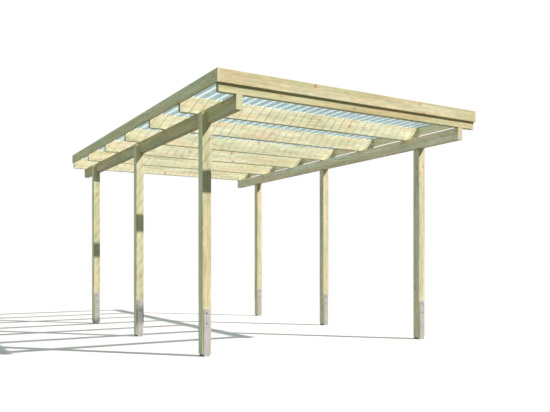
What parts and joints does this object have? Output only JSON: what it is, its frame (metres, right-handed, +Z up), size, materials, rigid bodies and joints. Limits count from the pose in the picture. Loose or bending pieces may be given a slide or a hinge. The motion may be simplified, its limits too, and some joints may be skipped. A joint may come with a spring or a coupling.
{
  "type": "timber carport",
  "caption": "Open flat-roof timber carport for one car: square posts in steel anchors, side beams in notches, cross rafters, fascia boards and clear ribbed roof sheets.",
  "frame": {"origin": "on the ground, midway between the sides and between the front of the roof and the rear drip edge of its sheets", "axes": "+Z up; the front, where the car drives in, faces -Y; +X is to the right seen from the front"},
  "size_m": [3.015, 5.06, 2.464],
  "materials": {
    "post_timber": "planed, green tint",
    "beam_timber": "planed, green tint",
    "rafter_timber": "planed, green tint",
    "fascia_timber": "planed, green tint",
    "galvanised_steel": "dull zinc",
    "clear_sheet": "clear gloss"
  },
  "bodies": {
    "root": {"front_left_post": "post_timber", "middle_left_post": "post_timber", "rear_left_post": "post_timber", "front_right_post": "post_timber", "middle_right_post": "post_timber", "rear_right_post": "post_timber", "front_left_anchor": "galvanised_steel", "middle_left_anchor": "galvanised_steel", "rear_left_anchor": "galvanised_steel", "front_right_anchor": "galvanised_steel", "middle_right_anchor": "galvanised_steel", "rear_right_anchor": "galvanised_steel", "left_beam": "beam_timber", "right_beam": "beam_timber", "rafter_1": "rafter_timber", "rafter_2": "rafter_timber", "rafter_3": "rafter_timber", "rafter_4": "rafter_timber", "rafter_5": "rafter_timber", "rafter_6": "rafter_timber", "rafter_7": "rafter_timber", "front_fascia": "fascia_timber", "left_fascia": "fascia_timber", "right_fascia": "fascia_timber", "roof_sheet_1": "clear_sheet", "roof_sheet_2": "clear_sheet", "roof_sheet_3": "clear_sheet"}
  },
  "joints": []
}
